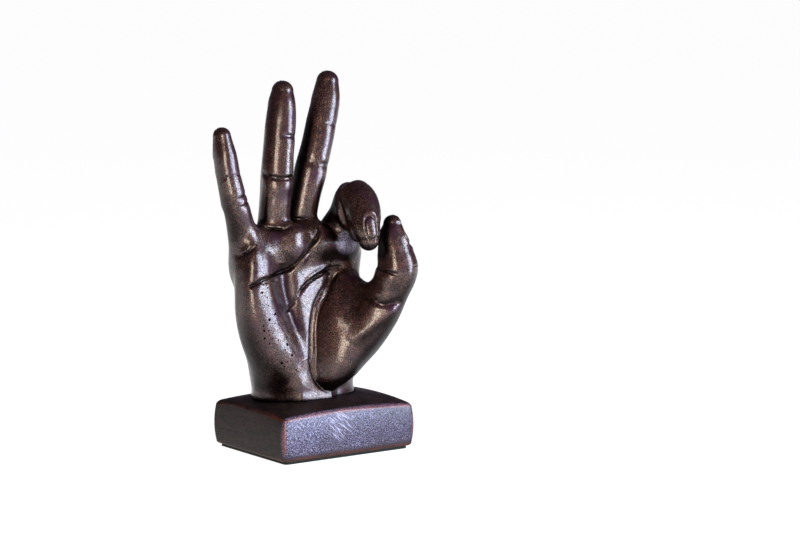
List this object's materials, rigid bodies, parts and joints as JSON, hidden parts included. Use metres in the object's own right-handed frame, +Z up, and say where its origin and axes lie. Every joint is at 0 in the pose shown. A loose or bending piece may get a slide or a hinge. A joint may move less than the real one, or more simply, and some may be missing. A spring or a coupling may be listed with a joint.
{
  "type": "hand sculpture",
  "caption": "Standing cast hand whose thumb and forefinger close a ring, on a rectangular block with a pillowed top and a felt underside.",
  "frame": {"origin": "middle of the block's footprint, on the underside of the felt, where it rests", "axes": "+Z up; -Y is the side that the palm faces, along the block's depth; +X is the side of the thumb, along the block's width"},
  "size_m": [0.1008, 0.0752, 0.1953],
  "materials": {
    "hand_casting": "cold-cast bronze resin with a dark brown patina, rubbed back to gold brown on the high places, waxed, with fine pinholes",
    "plinth_casting": "the same cast resin, satin, finely speckled and scratched, with worn red-brown edges",
    "felt": "dark wool felt",
    "zinc_steel": "zinc plated"
  },
  "bodies": {
    "root": {"hand": "hand_casting", "plinth": "plinth_casting", "felt_base": "felt", "stud": "zinc_steel", "washer": "zinc_steel", "hex_nut": "zinc_steel", "locating_pin": "zinc_steel"}
  },
  "joints": []
}
